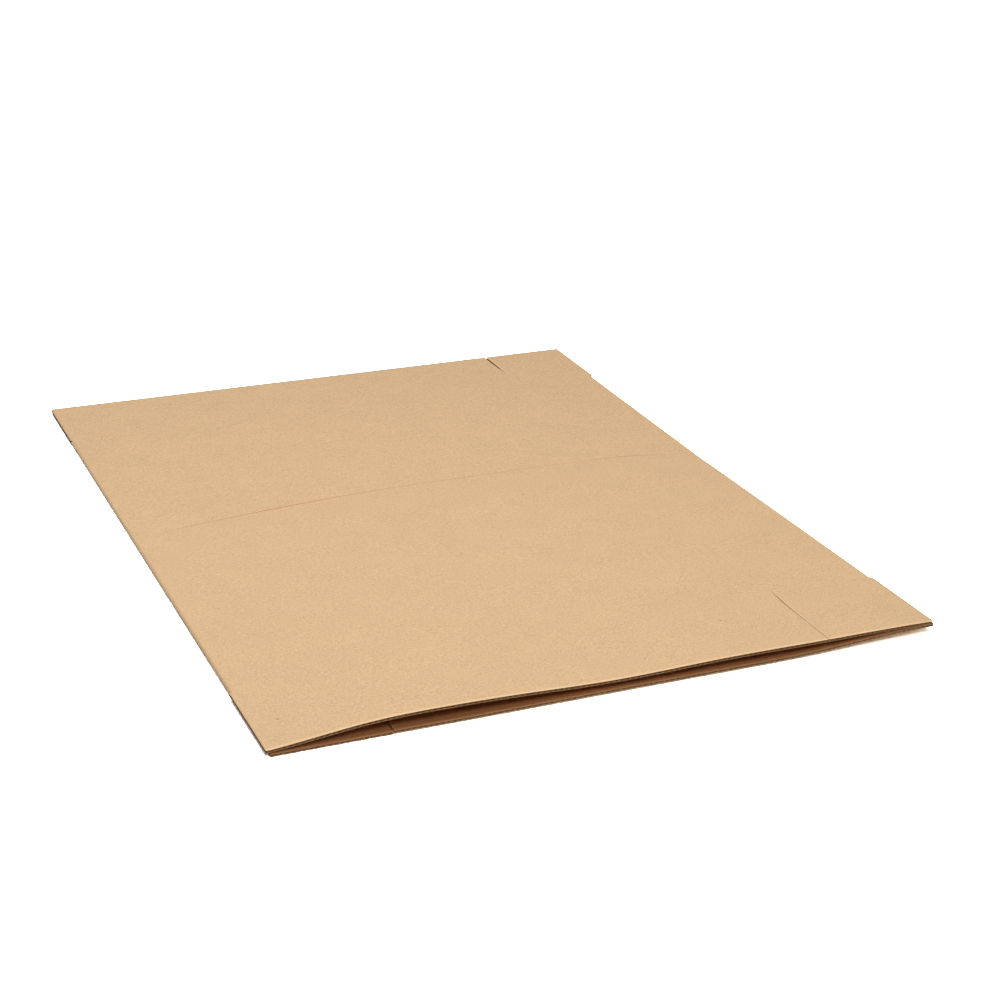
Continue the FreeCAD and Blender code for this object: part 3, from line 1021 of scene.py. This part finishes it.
def soft_light(name, place, target, size, power):
    """A square area lamp at a place in metres, turned towards another."""
    data = bpy.data.lights.new(name, "AREA")
    data.size = size
    data.energy = power
    lamp = bpy.data.objects.new(name, data)
    lamp.location = place
    lamp.rotation_euler = (Vector(target) - Vector(place)).to_track_quat("-Z", "Y").to_euler()
    bpy.context.scene.collection.objects.link(lamp)


def looking_rays(tree):
    """1 for rays that look, straight or by a glossy or clear surface, and 0 for the rest."""
    path = add_node(tree, "ShaderNodeLightPath")
    rays = path.outputs["Is Camera Ray"]
    for kind in ("Is Glossy Ray", "Is Transmission Ray"):
        rays = add_node(tree, "ShaderNodeMath", {0: rays, 1: path.outputs[kind]},
                        operation="MAXIMUM").outputs[0]
    return rays


def camera_matrix():
    """The camera's place and axes. It looks along a level direction turned by the yaw and
    tipped down, and is then rolled about that line of sight."""
    ahead = Vector((sin(CAMERA_YAW) * cos(CAMERA_DOWN), cos(CAMERA_YAW) * cos(CAMERA_DOWN),
                    -sin(CAMERA_DOWN)))
    level = Vector((cos(CAMERA_YAW), -sin(CAMERA_YAW), 0.0))
    upright = level.cross(ahead)
    right = cos(CAMERA_ROLL) * level + sin(CAMERA_ROLL) * upright
    up = cos(CAMERA_ROLL) * upright - sin(CAMERA_ROLL) * level
    axes = Matrix((right, up, -ahead)).transposed()
    return Matrix.Translation(CAMERA_AT) @ axes.to_4x4()


class CARTON_OT_stage(bpy.types.Operator):
    """Builds the floor, the soft light, the white surroundings and the camera"""
    bl_idname = "carton.stage"
    bl_label = "Stage"

    def execute(self, context):
        scene = context.scene
        mesh = bpy.data.meshes.new("studio_floor")
        half = FLOOR_HALF
        mesh.from_pydata([(-half, -half, 0.0), (half, -half, 0.0), (half, half, 0.0),
                          (-half, half, 0.0)], [], [(0, 1, 2, 3)])
        floor = bpy.data.objects.new("studio_floor", mesh)
        floor.location.z = -FLOOR_BELOW
        scene.collection.objects.link(floor)
        mesh.materials.append(self.floor_material(scene.carton_looks.floor))
        self.surroundings(scene)
        for lamp in LAMPS:
            soft_light(*lamp)
        data = bpy.data.cameras.new("camera")
        data.sensor_width = SENSOR
        data.lens = FOCAL_WIDTHS * SENSOR
        data.clip_end = CLIP_END
        camera = bpy.data.objects.new("camera", data)
        camera.matrix_world = camera_matrix()
        scene.collection.objects.link(camera)
        scene.camera = camera
        scene.view_settings.view_transform = "Standard"
        return {"FINISHED"}

    def floor_material(self, colour):
        """Seamless paper: a matt floor that takes the carton's shadow. Where it is looked
        at its colour is brighter than white, the more so the farther it lies from the
        carton, so that all but the shadow passes for white."""
        material = bpy.data.materials.new("seamless_paper")
        tree = emptied(material)
        place = add_node(tree, "ShaderNodeTexCoord").outputs["Object"]
        away = add_node(tree, "ShaderNodeVectorMath", {0: place}, operation="LENGTH")
        squared = add_node(tree, "ShaderNodeMath", {0: away.outputs["Value"], 1: 2.0},
                           operation="POWER")
        bright = add_node(tree, "ShaderNodeMath", {0: squared.outputs[0], 1: FLOOR_SEEN_RISE,
                                                   2: FLOOR_SEEN}, operation="MULTIPLY_ADD")
        seen = add_node(tree, "ShaderNodeMix", {0: looking_rays(tree), 6: colour,
                                                7: bright.outputs[0]}, data_type="RGBA")
        matt = add_node(tree, "ShaderNodeBsdfDiffuse", {"Color": seen.outputs[2]})
        add_node(tree, "ShaderNodeOutputMaterial", {"Surface": matt.outputs[0]})
        return material

    def surroundings(self, scene):
        """An even white room, which the camera sees as plain white."""
        world = bpy.data.worlds.new("white_room")
        scene.world = world
        tree = emptied(world)
        dim, white = [add_node(tree, "ShaderNodeBackground", {"Color": (1.0, 1.0, 1.0, 1.0),
                                                              "Strength": strength})
                      for strength in (ROOM_LIGHT, ROOM_SEEN)]
        mixed = add_node(tree, "ShaderNodeMixShader", {0: looking_rays(tree), 1: dim.outputs[0],
                                                       2: white.outputs[0]})
        add_node(tree, "ShaderNodeOutputWorld", {"Surface": mixed.outputs[0]})


class CARTON_PT_panel(bpy.types.Panel):
    """Lists the carton's sizes, colours and pieces"""
    bl_idname = "CARTON_PT_panel"
    bl_label = "Flattened carton"
    bl_space_type = "VIEW_3D"
    bl_region_type = "UI"
    bl_category = "Carton"

    def draw(self, context):
        for group in (context.scene.carton_sizes, context.scene.carton_looks):
            box = self.layout.box()
            for name in group.__annotations__:
                box.prop(group, name)
        for operator in OPERATORS:
            self.layout.operator(operator.bl_idname)


OPERATORS = (CARTON_OT_outer_liner, CARTON_OT_inner_liner, CARTON_OT_fluting, CARTON_OT_lap,
             CARTON_OT_flecks, CARTON_OT_stage)
CLASSES = (CartonSizes, CartonLooks) + OPERATORS + (CARTON_PT_panel,)


def register():
    """Registers the classes and hangs the two property groups on the scene."""
    for entry in CLASSES:
        bpy.utils.register_class(entry)
    bpy.types.Scene.carton_sizes = PointerProperty(type=CartonSizes)
    bpy.types.Scene.carton_looks = PointerProperty(type=CartonLooks)


def unregister():
    """Takes the property groups and the classes away again."""
    del bpy.types.Scene.carton_looks
    del bpy.types.Scene.carton_sizes
    for entry in reversed(CLASSES):
        bpy.utils.unregister_class(entry)


def main():
    """Builds everything in order: the stage first, then each piece."""
    register()
    bpy.ops.carton.stage()
    bpy.ops.carton.outer_liner()
    bpy.ops.carton.inner_liner()
    bpy.ops.carton.fluting()
    bpy.ops.carton.lap()
    bpy.ops.carton.flecks()


if __name__ == "__main__":
    main()
